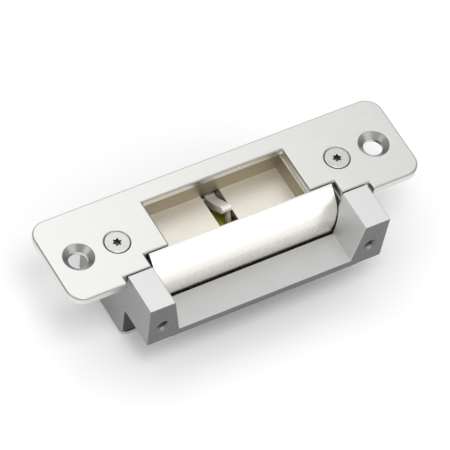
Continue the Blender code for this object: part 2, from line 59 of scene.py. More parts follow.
# Sizes in millimetres from the datum. A place across an axis is (y, z), (z, x) or (x, y).
PLATE_LENGTH, PLATE_WIDTH, PLATE_THICKNESS, PLATE_CORNER = 123.8, 31.75, 3.0, 5.6
MOUNT_HOLE_X, HOLE_LINE_Y, PLATE_SCREW_X = 52.4, -0.7, 39.05
LATCH_OPENING_X, LATCH_OPENING_Y = 24.9, 9.3
KEEPER_NOTCH_X, KEEPER_NOTCH_Y = 33.7, -8.1
EAR_NOTCH_X, EAR_NOTCH_Y = 43.5, -13.1
BLOCK_BACK, BLOCK_FRONT, BLOCK_BOTTOM, BLOCK_TOP = 14.4, -13.7, -31.6, -3.2
EAR_FRONT, EAR_TOP = -28.2, 0.1
RAMP_TOP, RAMP_BOTTOM = -15.4, -18.2
FLOOR_TOP, FLOOR_BOTTOM = -10.3, -18.0
POCKET_X, POCKET_BACK, ARM_BAY_X, BAY_X = 24.5, 10.0, 27.0, 33.4
BAY_RADIUS, BELLY_RADIUS, CHAMBER_BACK = 19.3, 21.5, 12.9
KEEPER_PIVOT, KEEPER_HALF, KEEPER_INNER = (2.6, -14.5), 32.4, -8.5
LEVER_PIVOT = (11.6, -15.6)
SLOT_X = (-2.6, 4.0)
FLOOR_CORES_X = ((-24.0, -18.5), (SLOT_X[0], 16.0))
PLUNGER_AXIS, PLUNGER_SPRING_SEAT = (7.0, -24.6), 4.95
SWITCH_SCREW = (-4.0, -0.4)
COVER_SCREW_X, COVER_SCREW_Y = 37.4, (-9.2, 10.2)
PIN_CLEARANCE_RADIUS, PLATE_SCREW_CLEARANCE_RADIUS = 2.1, 2.1
ROOT = "housing_body"


# ---- shaping ----

def shape(name, mesh):
    made = bpy.data.objects.new(name, mesh)
    bpy.context.scene.collection.objects.link(made)
    return made


def mesh_from(bm, name):
    mesh = bpy.data.meshes.new(name)
    bmesh.ops.recalc_face_normals(bm, faces=bm.faces)
    bm.to_mesh(mesh)
    bm.free()
    return mesh


def turn_to(axis):
    """Takes +Z to the named axis and keeps the cyclic order of the other two."""
    rows = {"Z": ((1, 0, 0), (0, 1, 0), (0, 0, 1)), "X": ((0, 1, 0), (0, 0, 1), (1, 0, 0))}
    rows["Y"] = ((0, 0, 1), (1, 0, 0), (0, 1, 0))
    return Matrix(rows[axis]).transposed().to_4x4()


def arc(centre, radius, start, end, steps):
    turns = [math.radians(start + (end - start) * i / steps) for i in range(steps + 1)]
    return [(centre[0] + radius * math.cos(t), centre[1] + radius * math.sin(t)) for t in turns]


def prism(name, axis, outline, along):
    """A flat outline pushed along an axis."""
    bm = bmesh.new()
    low = [bm.verts.new((u * MM, v * MM, along[0] * MM)) for u, v in outline]
    high = [bm.verts.new((u * MM, v * MM, along[1] * MM)) for u, v in outline]
    bm.faces.new(low)
    bm.faces.new(high)
    for i in range(len(outline)):
        j = (i + 1) % len(outline)
        bm.faces.new((low[i], low[j], high[j], high[i]))
    bmesh.ops.transform(bm, matrix=turn_to(axis), verts=bm.verts)
    return shape(name, mesh_from(bm, name))


def box(name, x, y, z):
    return prism(name, "Z", [(x[0], y[0]), (x[1], y[0]), (x[1], y[1]), (x[0], y[1])], z)


def turned(name, axis, across, profile, steps=72):
    """A lathe turning. The profile is (radius, along) pairs; it is a ring if it ends where it starts."""
    bm = bmesh.new()
    loop = profile[0] == profile[-1]
    corners = [bm.verts.new((radius * MM, 0, along * MM)) for radius, along in profile[: -1 if loop else None]]
    pairs = list(zip(corners, corners[1:])) + ([(corners[-1], corners[0])] if loop else [])
    edges = [bm.edges.new(pair) for pair in pairs]
    bmesh.ops.spin(bm, geom=corners + edges, axis=(0, 0, 1), cent=(0, 0, 0), angle=math.tau, steps=steps)
    bmesh.ops.remove_doubles(bm, verts=bm.verts, dist=0.000001)
    place = Matrix.Translation((across[0] * MM, across[1] * MM, 0))
    bmesh.ops.transform(bm, matrix=turn_to(axis) @ place, verts=bm.verts)
    return shape(name, mesh_from(bm, name))


def rod(name, axis, across, along, radius, steps=64, ease=0.0):
    """A round bar with its end edges eased."""
    low, high = along
    profile = [(0, high), (radius - ease, high), (radius, high - ease)]
    profile += [(radius, low + ease), (radius - ease, low)]
    if not ease:
        profile = [(0, high), (radius, high), (radius, low)]
    return turned(name, axis, across, profile + [(0, low)], steps)


def wire(name, route, radius):
    """A round wire through points."""
    curve = bpy.data.curves.new(name, "CURVE")
    curve.dimensions = "3D"
    curve.bevel_depth = radius * MM
    curve.bevel_resolution = 4
    curve.use_fill_caps = True
    spline = curve.splines.new("POLY")
    spline.points.add(len(route) - 1)
    for point, place in zip(spline.points, route):
        point.co = (*(Vector(place) * MM), 1)
    return settled(shape(name, curve))


def settled(obj):
    """The object with its modifiers or curve made a plain mesh, and its doubles merged."""
    graph = bpy.context.evaluated_depsgraph_get()
    mesh = bpy.data.meshes.new_from_object(obj.evaluated_get(graph))
    name = obj.name
    bpy.data.objects.remove(obj)
    bm = bmesh.new()
    bm.from_mesh(mesh)
    bmesh.ops.remove_doubles(bm, verts=bm.verts, dist=0.000001)
    return shape(name, mesh_from(bm, name))


def boolean(obj, others, operation):
    for other in others:
        step = obj.modifiers.new(other.name, "BOOLEAN")
        step.operation = operation
        step.object = other
        step.solver = "EXACT"
    made = settled(obj)
    for other in others:
        bpy.data.objects.remove(other)
    return made


def cut(obj, *others):
    return boolean(obj, others, "DIFFERENCE")


def join(obj, *others):
    return boolean(obj, others, "UNION")


def soften(obj, width, segments=3, angle=40):
    step = obj.modifiers.new("Eased edges", "BEVEL")
    step.width = width * MM
    step.segments = segments
    step.limit_method = "ANGLE"
    step.angle_limit = math.radians(angle)
    step.use_clamp_overlap = True
    return settled(obj)


def sided(values, side):
    return tuple(sorted(side * value for value in values))


def finish(obj, finish_material, body, *nodes, sharp=32):
    """Places a piece from the datum, smooths it, and makes it stand for its nodes of the frame."""
    obj.data.transform(Matrix.Translation(DATUM))
    obj.data.materials.clear()
    obj.data.materials.append(finish_material)
    obj.data.shade_smooth()
    obj.data.set_sharp_from_angle(angle=math.radians(sharp))
    obj.modifiers.new("Even shading", "WEIGHTED_NORMAL").keep_sharp = True
    graph = bpy.context.evaluated_depsgraph_get()
    obj.data = bpy.data.meshes.new_from_object(obj.evaluated_get(graph))
    obj.modifiers.clear()
    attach(obj, body)
    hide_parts(*nodes)
    return obj


def refined(node, finish_material, body, width):
    """A copy of a frame node with merged faces and eased edges."""
    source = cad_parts[node]
    bm = bmesh.new()
    bm.from_mesh(source.data)
    bmesh.ops.remove_doubles(bm, verts=bm.verts, dist=0.000002)
    bmesh.ops.dissolve_limit(bm, angle_limit=math.radians(1.5), verts=bm.verts, edges=bm.edges)
    obj = shape(node + "_fine", mesh_from(bm, node))
    obj.data.transform(Matrix.Translation(-DATUM))
    return finish(soften(obj, width, 2, 38), finish_material, body, node)


# ---- node groups of the finishes ----

def new_group(name, inputs, outputs):
    tree = bpy.data.node_groups.new(name, "ShaderNodeTree")
    for label, kind, value in inputs:
        tree.interface.new_socket(name=label, in_out="INPUT", socket_type=kind).default_value = value
    for label in outputs:
        tree.interface.new_socket(name=label, in_out="OUTPUT", socket_type="NodeSocketFloat")
    return tree, tree.nodes.new("NodeGroupInput"), tree.nodes.new("NodeGroupOutput")


def maths(tree, operation, first, second, clamp=False):
    node = tree.nodes.new("ShaderNodeMath")
    node.operation = operation
    node.use_clamp = clamp
    for socket, value in zip(node.inputs, (first, second)):
        if isinstance(value, bpy.types.NodeSocket):
            tree.links.new(value, socket)
        else:
            socket.default_value = value
    return node.outputs[0]


def noise(tree, vector, scale, detail=4.0, roughness=0.55):
    node = tree.nodes.new("ShaderNodeTexNoise")
    node.inputs["Scale"].default_value = scale
    node.inputs["Detail"].default_value = detail
    node.inputs["Roughness"].default_value = roughness
    tree.links.new(vector, node.inputs["Vector"])
    return node.outputs["Fac"]


def stretched(tree, stretch):
    """Object coordinates multiplied by a stretch."""
    place = tree.nodes.new("ShaderNodeTexCoord")
    scale = tree.nodes.new("ShaderNodeVectorMath")
    scale.operation = "MULTIPLY"
    tree.links.new(place.outputs["Object"], scale.inputs[0])
    tree.links.new(stretch, scale.inputs[1])
    return scale.outputs[0]


def brushed_grain():
    """Long fine scratches with a slower cloud over them."""
    inputs = [("Stretch", "NodeSocketVector", (200, 6000, 6000))]
    tree, given, made = new_group("brushed grain", inputs, ("Tone", "Height"))
    place = stretched(tree, given.outputs["Stretch"])
    fine = noise(tree, place, 1.0, 5.0, 0.7)
    plain = tree.nodes.new("ShaderNodeTexCoord")
    cloud = noise(tree, plain.outputs["Object"], 60.0, 3.0)
    tone = maths(tree, "ADD", maths(tree, "MULTIPLY", fine, 0.75), maths(tree, "MULTIPLY", cloud, 0.25))
    tree.links.new(tone, made.inputs["Tone"])
    tree.links.new(fine, made.inputs["Height"])
    return tree


def cast_skin():
    """The fine orange-peel and small pits of a die casting."""
    tree, given, made = new_group("cast skin", [("Stretch", "NodeSocketVector", (1, 1, 1))], ("Tone", "Height"))
    place = stretched(tree, given.outputs["Stretch"])
    peel = noise(tree, place, 900.0, 5.0, 0.6)
    cloud = noise(tree, place, 90.0, 4.0)
    cells = tree.nodes.new("ShaderNodeTexVoronoi")
    cells.inputs["Scale"].default_value = 1500.0
    tree.links.new(place, cells.inputs["Vector"])
    pits = maths(tree, "MULTIPLY", maths(tree, "LESS_THAN", cells.outputs["Distance"], 0.16), 0.35)
    height = maths(tree, "SUBTRACT", peel, pits)
    tone = maths(tree, "ADD", maths(tree, "MULTIPLY", height, 0.55), maths(tree, "MULTIPLY", cloud, 0.45))
    tree.links.new(tone, made.inputs["Tone"])
    tree.links.new(height, made.inputs["Height"])
    return tree


def edge_wear_and_light():
    """A mask of the outer and inner edges, broken up by noise: it carries wear at the edges and painted edge
    light, highlights where the edge colour is lighter and painted shade where it is darker.
    """
    inputs = [("Radius", "NodeSocketFloat", 0.0003), ("Strength", "NodeSocketFloat", 4.0)]
    tree, given, made = new_group("edge wear and painted edge light", inputs, ("Mask",))
    rounded = tree.nodes.new("ShaderNodeBevel")
    rounded.samples = 4
    tree.links.new(given.outputs["Radius"], rounded.inputs["Radius"])
    flat = tree.nodes.new("ShaderNodeNewGeometry")
    dot = tree.nodes.new("ShaderNodeVectorMath")
    dot.operation = "DOT_PRODUCT"
    tree.links.new(rounded.outputs["Normal"], dot.inputs[0])
    tree.links.new(flat.outputs["True Normal"], dot.inputs[1])
    bend = maths(tree, "SUBTRACT", 1.0, dot.outputs["Value"])
    wear_and_edge_light = maths(tree, "MULTIPLY", bend, given.outputs["Strength"])
    plain = tree.nodes.new("ShaderNodeTexCoord")
    patchy = maths(tree, "ADD", noise(tree, plain.outputs["Object"], 400.0), 0.4)
    tree.links.new(maths(tree, "MULTIPLY", wear_and_edge_light, patchy, True), made.inputs["Mask"])
    return tree


def tint(tree, mask, first, second):
    node = tree.nodes.new("ShaderNodeMix")
    node.data_type = "RGBA"
    factor = [s for s in node.inputs if s.name == "Factor"][0]
    colours = [s for s in node.inputs if s.type == "RGBA"]
    for socket, value in ((factor, mask), (colours[0], first), (colours[1], second)):
        if isinstance(value, bpy.types.NodeSocket):
            tree.links.new(value, socket)
        elif socket is factor:
            socket.default_value = value
        else:
            socket.default_value = (*value, 1.0)
    return [s for s in node.outputs if s.type == "RGBA"][0]


def spread(tree, value, low, high, to_low, to_high):
    node = tree.nodes.new("ShaderNodeMapRange")
    tree.links.new(value, node.inputs["Value"])
    for label, number in (("From Min", low), ("From Max", high), ("To Min", to_low), ("To Max", to_high)):
        node.inputs[label].default_value = number
    return node.outputs["Result"]


def surface(name, group, dark, light, stretch, roughness, metallic, bump, edge=None, ease=0.00025):
    """A finish: two colours mixed by a grain, an edge colour for wear and painted edge light, roughness and
    bump from the same grain.
    """
    made = bpy.data.materials.new(name)
    made.use_nodes = True
    tree = made.node_tree
    shader = tree.nodes["Principled BSDF"]
    grain = tree.nodes.new("ShaderNodeGroup")
    grain.node_tree = group
    grain.inputs["Stretch"].default_value = stretch
    colour = tint(tree, spread(tree, grain.outputs["Tone"], 0.3, 0.7, 0, 1), dark, light)
    # The edge colour paints wear and edge light along the edges: a lighter colour is partly a painted
    # highlight, a darker one a painted shade.
    if edge:
        wear_and_edge_light = tree.nodes.new("ShaderNodeGroup")
        wear_and_edge_light.node_tree = EDGE_WEAR_AND_LIGHT
        colour = tint(tree, wear_and_edge_light.outputs["Mask"], colour, edge)
    tree.links.new(colour, shader.inputs["Base Color"])
    tree.links.new(spread(tree, grain.outputs["Tone"], 0.3, 0.7, *roughness), shader.inputs["Roughness"])
    shader.inputs["Metallic"].default_value = metallic
    relief = tree.nodes.new("ShaderNodeBump")
    relief.inputs["Strength"].default_value = 0.6
    relief.inputs["Distance"].default_value = bump
    tree.links.new(grain.outputs["Height"], relief.inputs["Height"])
    if ease:
        rounded = tree.nodes.new("ShaderNodeBevel")
        rounded.samples = 4
        rounded.inputs["Radius"].default_value = ease
        tree.links.new(rounded.outputs["Normal"], relief.inputs["Normal"])
    tree.links.new(relief.outputs["Normal"], shader.inputs["Normal"])
    return made


def parts_of(tree, output):
    """X, Y and Z of a texture coordinate output: place ("Object") or direction ("Normal")."""
    source = tree.nodes.new("ShaderNodeTexCoord")
    parts = tree.nodes.new("ShaderNodeSeparateXYZ")
    tree.links.new(source.outputs[output], parts.inputs[0])
    return parts.outputs


def recolour(material, change):
    """Passes the base colour through a change that takes the tree and the colour."""
    tree = material.node_tree
    socket = tree.nodes["Principled BSDF"].inputs["Base Color"]
    colour = socket.links[0].from_socket
    tree.links.new(change(tree, colour), socket)


BRUSHED, CAST, EDGE_WEAR_AND_LIGHT = brushed_grain(), cast_skin(), edge_wear_and_light()

# The dark edge colour paints a dark outline along every edge of the plate, its openings and its holes: painted
# shade.
satin_stainless = surface(
    "satin stainless", BRUSHED, (0.64, 0.635, 0.61), (0.73, 0.725, 0.70), (260, 5200, 5200),
    (0.26, 0.38), 1.0, 0.000008, edge=(0.16, 0.155, 0.145),
)
die_cast = surface(
    "die-cast zinc", CAST, (0.135, 0.135, 0.133), (0.205, 0.205, 0.20), (1, 1, 1),
    (0.40, 0.58), 0.9, 0.00004, edge=(0.55, 0.55, 0.54),
)
keeper_plate = surface(
    "keeper nickel", BRUSHED, (0.77, 0.75, 0.695), (0.86, 0.845, 0.79), (5000, 350, 350),
    (0.24, 0.34), 1.0, 0.000003, edge=(0.86, 0.85, 0.82),
)
zinc_steel = surface(
    "zinc-plated steel", BRUSHED, (0.50, 0.50, 0.48), (0.68, 0.68, 0.66), (2500, 2500, 2500),
    (0.25, 0.40), 1.0, 0.00001, edge=(0.75, 0.75, 0.73),
)
# Painted light: the lever's colour is near white and barely metallic, so that it reads brightly lit within the
# pocket's shade.
lever_painted_bright = surface(
    "lever plate painted bright", BRUSHED, (0.86, 0.83, 0.76), (0.95, 0.925, 0.86), (800, 800, 800),
    (0.35, 0.50), 0.1, 0.000008, edge=(0.95, 0.93, 0.88),
)
spring_wire = surface(
    "spring wire", BRUSHED, (0.32, 0.32, 0.31), (0.48, 0.48, 0.47), (900, 3000, 3000),
    (0.25, 0.38), 1.0, 0.000006, ease=None,
)
turned_iron = surface(
    "turned soft iron", BRUSHED, (0.30, 0.30, 0.29), (0.44, 0.44, 0.43), (7000, 300, 300),
    (0.30, 0.45), 1.0, 0.000015, edge=(0.60, 0.60, 0.58),
)
enamelled_copper = surface(
    "enamelled copper", BRUSHED, (0.50, 0.20, 0.07), (0.72, 0.34, 0.14), (600, 600, 600),
    (0.18, 0.30), 1.0, 0.000004, ease=None,
)
coil_tape_film = surface(
    "yellow coil tape", BRUSHED, (0.60, 0.56, 0.05), (0.80, 0.75, 0.12), (300, 1500, 1500),
    (0.25, 0.42), 0.0, 0.00002, ease=None,
)
black_nylon = surface(
    "black nylon", CAST, (0.012, 0.012, 0.012), (0.03, 0.03, 0.03), (2, 2, 2),
    (0.42, 0.60), 0.0, 0.00003, edge=(0.06, 0.06, 0.06),
)
green_moulding = surface(
    "green moulding", CAST, (0.015, 0.13, 0.045), (0.03, 0.20, 0.07), (2, 2, 2),
    (0.35, 0.5), 0.0, 0.00003, edge=(0.08, 0.28, 0.13),
)
red_insulation = surface(
    "red insulation", CAST, (0.35, 0.012, 0.01), (0.5, 0.03, 0.02), (1.5, 1.5, 1.5),
    (0.3, 0.45), 0.0, 0.00002, ease=None,
)


def cast_painted_light(tree, colour):
    """Painted light on the die casting: faces that look up are painted bright, brighter towards the top; sides
    that look left are painted paler, much paler on the right half; other faces below the ramp are darkened as
    painted shade; the latch pocket is painted warm, with its floor painted bright and its walls in painted
    shade.
    """
    look, place = parts_of(tree, "Normal"), parts_of(tree, "Object")
    up = spread(tree, look["Z"], 0.55, 0.95, 0, 1)
    left = spread(tree, look["X"], -0.6, -0.95, 0, 1)
    rightward = spread(tree, place["X"], -0.02, 0.02, 0, 1)
    # Painted light on sides that look left: paler on the left half, and much paler on the right half, where the
    # right ear's inner face stands in shade.
    skin = tint(tree, rightward, (0.33, 0.33, 0.325), (0.66, 0.66, 0.65))
    towards_top = spread(tree, place["Z"], DATUM.z - 0.012, DATUM.z - 0.004, 0, 1)
    # Painted light: faces that look up are painted bright, brighter towards the top.
    painted_top_light = tint(tree, towards_top, (0.55, 0.55, 0.545), (0.70, 0.70, 0.69))
    # Painted shade: below the ramp, faces that look neither up nor left are darkened towards near black.
    low = spread(tree, place["Z"], DATUM.z - 0.018, DATUM.z - 0.021, 0, 1)
    outside_painted_light = tint(tree, up, tint(tree, left, tint(tree, low, colour, (0.08, 0.08, 0.078)), skin), painted_top_light)
    # The latch pocket is painted warm; its up-facing floor is painted bright and its walls darker: painted
    # light on the floor and painted shade on the walls.
    pocket_tint_and_painted_light = tint(tree, up, (0.37, 0.32, 0.235), (0.86, 0.82, 0.735))
    behind = spread(tree, place["Y"], DATUM.y - 0.0085, DATUM.y - 0.0075, 0, 1)
    above = spread(tree, place["Z"], DATUM.z - 0.0190, DATUM.z - 0.0185, 0, 1)
    between = spread(tree, maths(tree, "ABSOLUTE", place["X"], 0), 0.0252, 0.0248, 0, 1)
    within = spread(tree, place["Y"], DATUM.y + 0.0140, DATUM.y + 0.0136, 0, 1)
    across = maths(tree, "MULTIPLY", behind, within)
    pocket = maths(tree, "MULTIPLY", across, maths(tree, "MULTIPLY", above, between))
    return tint(tree, pocket, outside_painted_light, pocket_tint_and_painted_light)


def keeper_painted_low_shade(tree, colour):
    """Painted shade: the plating's colour darkens and browns towards the bottom, where the jaw turns under."""
    low = spread(tree, parts_of(tree, "Object")["Z"], DATUM.z - 0.0110, DATUM.z - 0.0165, 0, 1)
    return tint(tree, low, colour, (0.62, 0.59, 0.50))


def rolled_edges(tree, colour):
    """Rounded edges and countersinks of the plate reflect darker than its faces."""
    up = parts_of(tree, "Normal")["Z"]
    rim = maths(tree, "MULTIPLY", spread(tree, up, 0.985, 0.85, 0, 1), spread(tree, up, 0.1, 0.35, 0, 1))
    return tint(tree, maths(tree, "MULTIPLY", rim, 0.8), colour, (0.24, 0.23, 0.21))


def painted_drive_shade(tree, colour):
    """Painted shade in the drives of the screws that hold the plate."""
    height = parts_of(tree, "Object")["Z"]
    deep = maths(
        tree, "MULTIPLY",
        spread(tree, height, DATUM.z - 0.0003, DATUM.z - 0.0007, 0, 1),
        spread(tree, height, DATUM.z - 0.0032, DATUM.z - 0.0030, 0, 1),
    )
    return tint(tree, deep, colour, (0.10, 0.092, 0.075))


recolour(die_cast, cast_painted_light)
recolour(satin_stainless, rolled_edges)
recolour(zinc_steel, painted_drive_shade)
recolour(keeper_plate, keeper_painted_low_shade)


# ---- trees that make what repeats ----

def new_tree(name, inputs):
    tree = bpy.data.node_groups.new(name, "GeometryNodeTree")
    tree.interface.new_socket(name="Geometry", in_out="INPUT", socket_type="NodeSocketGeometry")
    for label, kind, value in inputs:
        socket = tree.interface.new_socket(name=label, in_out="INPUT", socket_type=kind)
        if value is not None:
            socket.default_value = value
    tree.interface.new_socket(name="Geometry", in_out="OUTPUT", socket_type="NodeSocketGeometry")
    return tree, tree.nodes.new("NodeGroupInput"), tree.nodes.new("NodeGroupOutput")


def step(tree, kind, *links, **values):
    """A node with its sockets linked or set. links are (socket, source) pairs."""
    node = tree.nodes.new(kind)
    for label, value in values.items():
        setattr(node, label, value)
    for label, source in links:
        socket = node.inputs[label]
        if isinstance(source, bpy.types.NodeSocket):
            tree.links.new(source, socket)
        else:
            socket.default_value = source
    return node


def screw_tree():
    """A countersunk screw with a six-lobe recess and a rolled thread, set on every point of the mesh."""
    size = "NodeSocketFloat"
    inputs = [("Head Radius", size, 0.00395), ("Shank Radius", size, 0.0019), ("Length", size, 0.0095)]
    inputs += [("Rim", size, 0.0003), ("Recess Radius", size, 0.0015), ("Recess Depth", size, 0.0012)]
    inputs += [("Thread Pitch", size, 0.0008), ("Turn Over", "NodeSocketRotation", (0, 0, 0))]
    inputs += [("Finish", "NodeSocketMaterial", None)]
    tree, given, made = new_tree("countersunk screws", inputs)
    size_of = given.outputs
    down = step(tree, "ShaderNodeCombineXYZ", ("Z", maths(tree, "MULTIPLY", size_of["Length"], -1.0)))
    spine = step(tree, "GeometryNodeCurvePrimitiveLine", ("End", down.outputs[0]))
    spine = step(tree, "GeometryNodeResampleCurve", ("Curve", spine.outputs["Curve"]), ("Count", 121))
    along = step(tree, "GeometryNodeSplineParameter").outputs["Length"]
    past_rim = maths(tree, "MAXIMUM", maths(tree, "SUBTRACT", along, size_of["Rim"]), 0.0)
    cone = maths(tree, "SUBTRACT", size_of["Head Radius"], past_rim)
    body = maths(tree, "MAXIMUM", cone, size_of["Shank Radius"])
    to_tip = maths(tree, "SUBTRACT", size_of["Length"], along)
    tip = maths(tree, "ADD", maths(tree, "MULTIPLY", size_of["Shank Radius"], 0.72), to_tip)
    eased = maths(tree, "ADD", maths(tree, "SUBTRACT", size_of["Head Radius"], 0.00012), along)
    radius = maths(tree, "MINIMUM", maths(tree, "MINIMUM", body, tip), eased)
    ring = step(tree, "GeometryNodeCurvePrimitiveCircle", ("Resolution", 64), ("Radius", 1.0))
    solid = step(
        tree, "GeometryNodeCurveToMesh", ("Curve", spine.outputs[0]), ("Profile Curve", ring.outputs["Curve"]),
        ("Scale", radius), ("Fill Caps", True),
    )
    lobes = step(tree, "GeometryNodeCurvePrimitiveCircle", ("Resolution", 72), ("Radius", 1.0))
    turn = maths(tree, "MULTIPLY", step(tree, "GeometryNodeSplineParameter").outputs["Factor"], math.tau * 6)
    wave = maths(tree, "ADD", maths(tree, "MULTIPLY", maths(tree, "COSINE", turn, 0.0), 0.17), 0.83)
    reach = maths(tree, "MULTIPLY", wave, size_of["Recess Radius"])
    place = step(tree, "GeometryNodeInputPosition").outputs[0]
    star = step(tree, "ShaderNodeVectorMath", (0, place), ("Scale", reach), operation="SCALE")
    lobes = step(
        tree, "GeometryNodeSetPosition", ("Geometry", lobes.outputs["Curve"]), ("Position", star.outputs[0]),
    )
    bottom = step(tree, "ShaderNodeCombineXYZ", ("Z", maths(tree, "MULTIPLY", size_of["Recess Depth"], -1.0)))
    path = step(tree, "GeometryNodeCurvePrimitiveLine", ("Start", (0, 0, 0.0005)), ("End", bottom.outputs[0]))
    drive = step(
        tree, "GeometryNodeCurveToMesh", ("Curve", path.outputs["Curve"]), ("Profile Curve", lobes.outputs[0]),
        ("Fill Caps", True),
    )
    hollow = step(tree, "GeometryNodeMeshBoolean", operation="DIFFERENCE")
    tree.links.new(solid.outputs["Mesh"], hollow.inputs["Mesh 1"])
    tree.links.new(drive.outputs["Mesh"], hollow.inputs["Mesh 2"])
    head = maths(tree, "ADD", maths(tree, "SUBTRACT", size_of["Head Radius"], size_of["Shank Radius"]), 0.0006)
    run = maths(tree, "SUBTRACT", maths(tree, "SUBTRACT", size_of["Length"], head), 0.0006)
    turns = maths(tree, "DIVIDE", run, size_of["Thread Pitch"])
    helix = step(
        tree, "GeometryNodeCurveSpiral", ("Resolution", 32), ("Rotations", turns), ("Height", run),
        ("Start Radius", size_of["Shank Radius"]), ("End Radius", size_of["Shank Radius"]), ("Reverse", True),
    )
    crest = step(tree, "GeometryNodeCurvePrimitiveCircle", ("Resolution", 3), ("Radius", 0.00012))
    ridge = step(
        tree, "GeometryNodeCurveToMesh", ("Curve", helix.outputs["Curve"]),
        ("Profile Curve", crest.outputs["Curve"]), ("Fill Caps", True),
    )
    depth = maths(tree, "MULTIPLY", maths(tree, "ADD", head, run), -1.0)
    sink = step(tree, "ShaderNodeCombineXYZ", ("Z", depth))
    ridge = step(
        tree, "GeometryNodeTransform", ("Geometry", ridge.outputs["Mesh"]), ("Translation", sink.outputs[0]),
    )
    whole = step(tree, "GeometryNodeJoinGeometry")
    tree.links.new(ridge.outputs[0], whole.inputs[0])
    tree.links.new(hollow.outputs["Mesh"], whole.inputs[0])
    points = step(tree, "GeometryNodeMeshToPoints", ("Mesh", size_of["Geometry"]))
    set_out = step(
        tree, "GeometryNodeInstanceOnPoints", ("Points", points.outputs[0]), ("Instance", whole.outputs[0]),
        ("Rotation", size_of["Turn Over"]),
    )
    real = step(tree, "GeometryNodeRealizeInstances", ("Geometry", set_out.outputs[0]))
    painted = step(
        tree, "GeometryNodeSetMaterial", ("Geometry", real.outputs[0]), ("Material", size_of["Finish"]),
    )
    tree.links.new(painted.outputs[0], made.inputs[0])
    return tree


def coil_tree():
    """A wire wound into a helix about Z, from the origin up."""
    size = "NodeSocketFloat"
    inputs = [("Radius", size, 0.004), ("Wire Radius", size, 0.0002), ("Length", size, 0.02)]
    inputs += [("Turns", size, 10.0), ("Steps", "NodeSocketInt", 32), ("Finish", "NodeSocketMaterial", None)]
    tree, given, made = new_tree("wound wire", inputs)
    size_of = given.outputs
    helix = step(
        tree, "GeometryNodeCurveSpiral", ("Resolution", size_of["Steps"]), ("Rotations", size_of["Turns"]),
        ("Height", size_of["Length"]), ("Start Radius", size_of["Radius"]), ("End Radius", size_of["Radius"]),
    )
    ring = step(tree, "GeometryNodeCurvePrimitiveCircle", ("Resolution", 8), ("Radius", size_of["Wire Radius"]))
    tube = step(
        tree, "GeometryNodeCurveToMesh", ("Curve", helix.outputs["Curve"]),
        ("Profile Curve", ring.outputs["Curve"]), ("Fill Caps", True),
    )
    real = step(tree, "GeometryNodeRealizeInstances", ("Geometry", tube.outputs["Mesh"]))
    painted = step(
        tree, "GeometryNodeSetMaterial", ("Geometry", real.outputs[0]), ("Material", size_of["Finish"]),
    )
    tree.links.new(painted.outputs[0], made.inputs[0])
    return tree


def grown(name, tree, values, points=((0, 0, 0),)):
    """The plain mesh that a tree makes on the given points, in millimetres from the datum."""
    mesh = bpy.data.meshes.new(name)
    mesh.from_pydata([Vector(p) * MM for p in points], [], [])
    obj = shape(name, mesh)
    modifier = obj.modifiers.new(name, "NODES")
    modifier.node_group = tree
    for item in tree.interface.items_tree:
        if item.item_type == "SOCKET" and item.in_out == "INPUT" and item.name in values:
            modifier[item.identifier] = values[item.name]
    return settled(obj)


# ---- the pieces that show ----

def corner_outline(length, width, radius, steps):
    half, edge = length / 2, width / 2
    corners = [(half - radius, edge - radius, 0), (-half + radius, edge - radius, 90)]
    corners += [(-half + radius, -edge + radius, 180)]
    outline = []
    for x, y, turn in corners:
        outline += arc((x, y), radius, turn, turn + 90, steps)
    return outline, arc((half - radius, -edge + radius), radius, 270, 360, steps)


def sunk_hole(radius, mouth, face, end, lip=0.12):
    """A drilled hole with a countersink whose mouth edge is slightly broken."""
    away = math.copysign(1, end - face)
    flare = mouth - radius
    return [
        (0, face - away), (mouth + 1.2, face - away), (mouth + 0.5, face - 0.02 * away),
        (mouth + lip, face + 0.03 * away), (mouth - lip, face + 0.2 * away),
        (radius, face + away * flare), (radius, end), (0, end),
    ]


def make_face_plate():
    outline, last = corner_outline(PLATE_LENGTH, PLATE_WIDTH, PLATE_CORNER, 20)
    edge = PLATE_WIDTH / 2
    notch = [(-EAR_NOTCH_X, -edge), (-EAR_NOTCH_X, EAR_NOTCH_Y), (-KEEPER_NOTCH_X, EAR_NOTCH_Y)]
    notch += [(-KEEPER_NOTCH_X, KEEPER_NOTCH_Y), (-LATCH_OPENING_X, KEEPER_NOTCH_Y)]
    notch += [(-LATCH_OPENING_X, LATCH_OPENING_Y)]
    outline += notch + [(-x, y) for x, y in reversed(notch)] + last
    plate = soften(prism("face_plate_stamped", "Z", outline, (-PLATE_THICKNESS, 0)), 0.6, 5, 30)
    holes = []
    for side in (-1, 1):
        fixing, screw = (side * MOUNT_HOLE_X, HOLE_LINE_Y), (side * PLATE_SCREW_X, HOLE_LINE_Y)
        holes.append(turned("hole", "Z", fixing, sunk_hole(3.1, 4.95, 0, -4), 96))
        holes.append(turned("hole", "Z", screw, sunk_hole(2.3, 4.3, 0, -4, 0.1), 96))
    finish(cut(plate, *holes), satin_stainless, ROOT, "face_plate", sharp=24)


def block_half(z):
    """Half the housing's length at a height. The ends draw in slightly towards the bottom."""
    return 42.45 - (EAR_TOP - z) * 0.05


